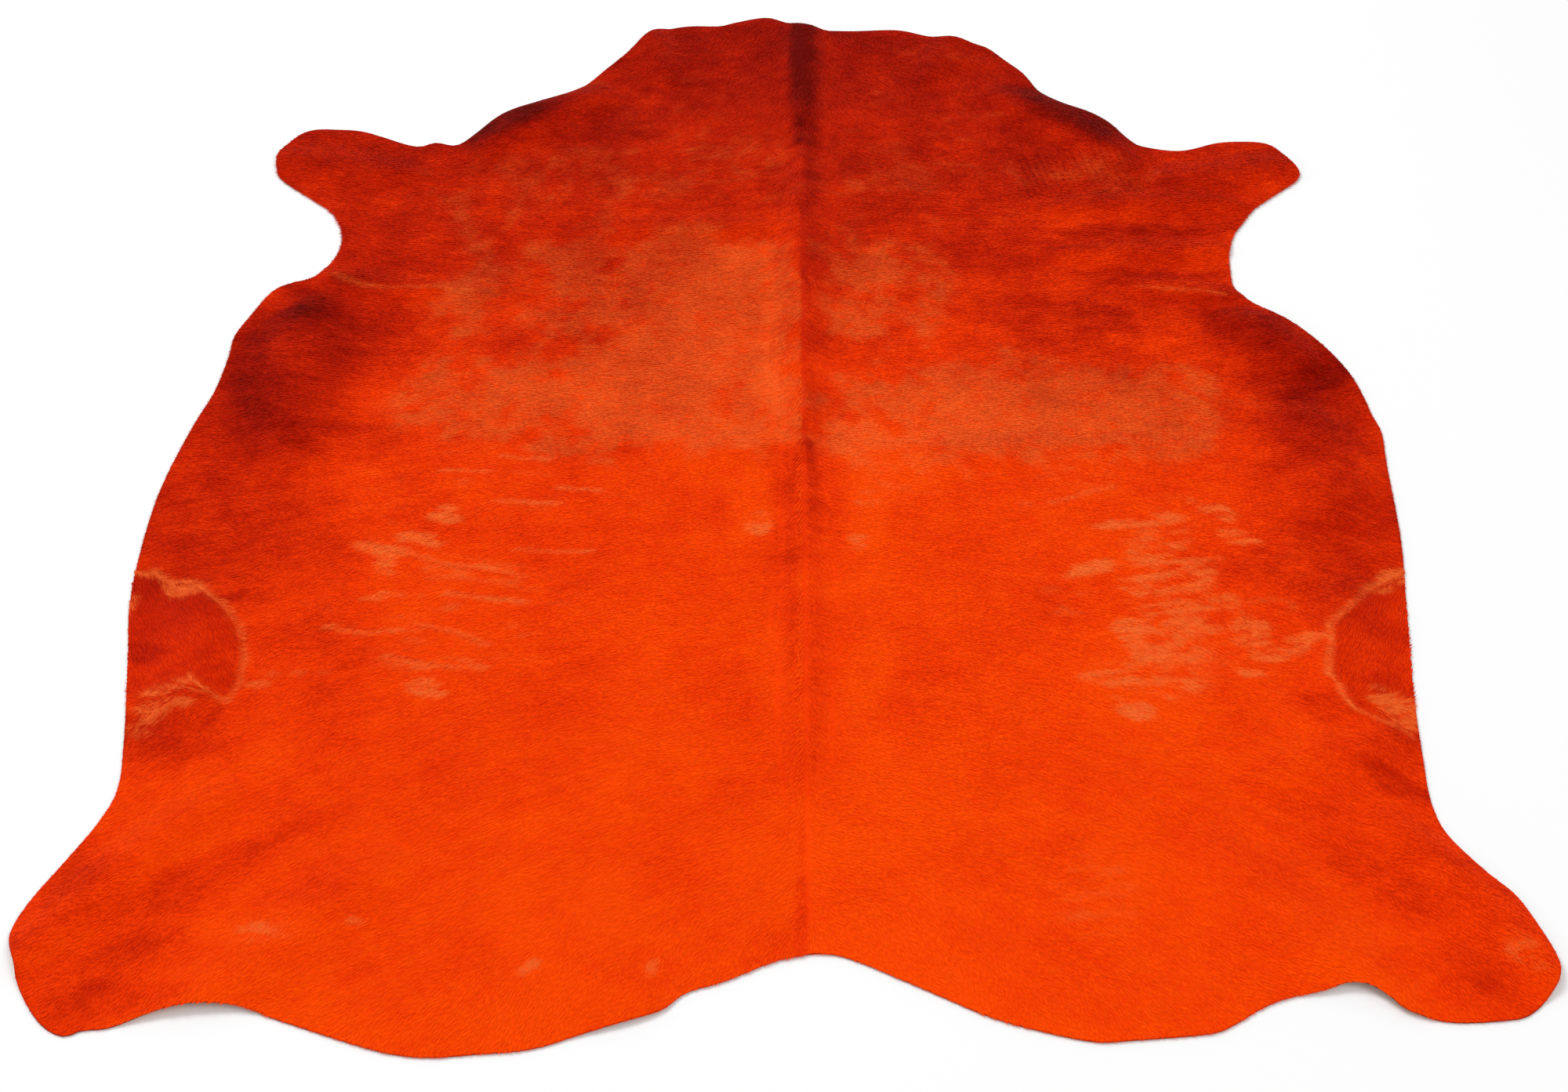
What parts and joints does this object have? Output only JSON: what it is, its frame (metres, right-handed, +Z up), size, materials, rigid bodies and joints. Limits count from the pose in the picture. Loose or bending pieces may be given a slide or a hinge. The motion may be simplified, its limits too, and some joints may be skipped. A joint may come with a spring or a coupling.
{
  "type": "cowhide rug",
  "caption": "Dyed hair-on cowhide laid flat as a floor rug, trimmed round neck, leg stubs, flanks and rump, with a spine crease and low storage folds",
  "frame": {"origin": "the middle of the hide's box, on the floor that it lies on", "axes": "+Z up, +Y from the rump to the neck, +X to the right flank as seen in the picture"},
  "size_m": [2.0521, 2.2814, 0.024],
  "materials": {
    "coat": "short dyed coat with a satin nap, on a suede skin"
  },
  "bodies": {
    "root": {"hide": "coat"}
  },
  "joints": []
}
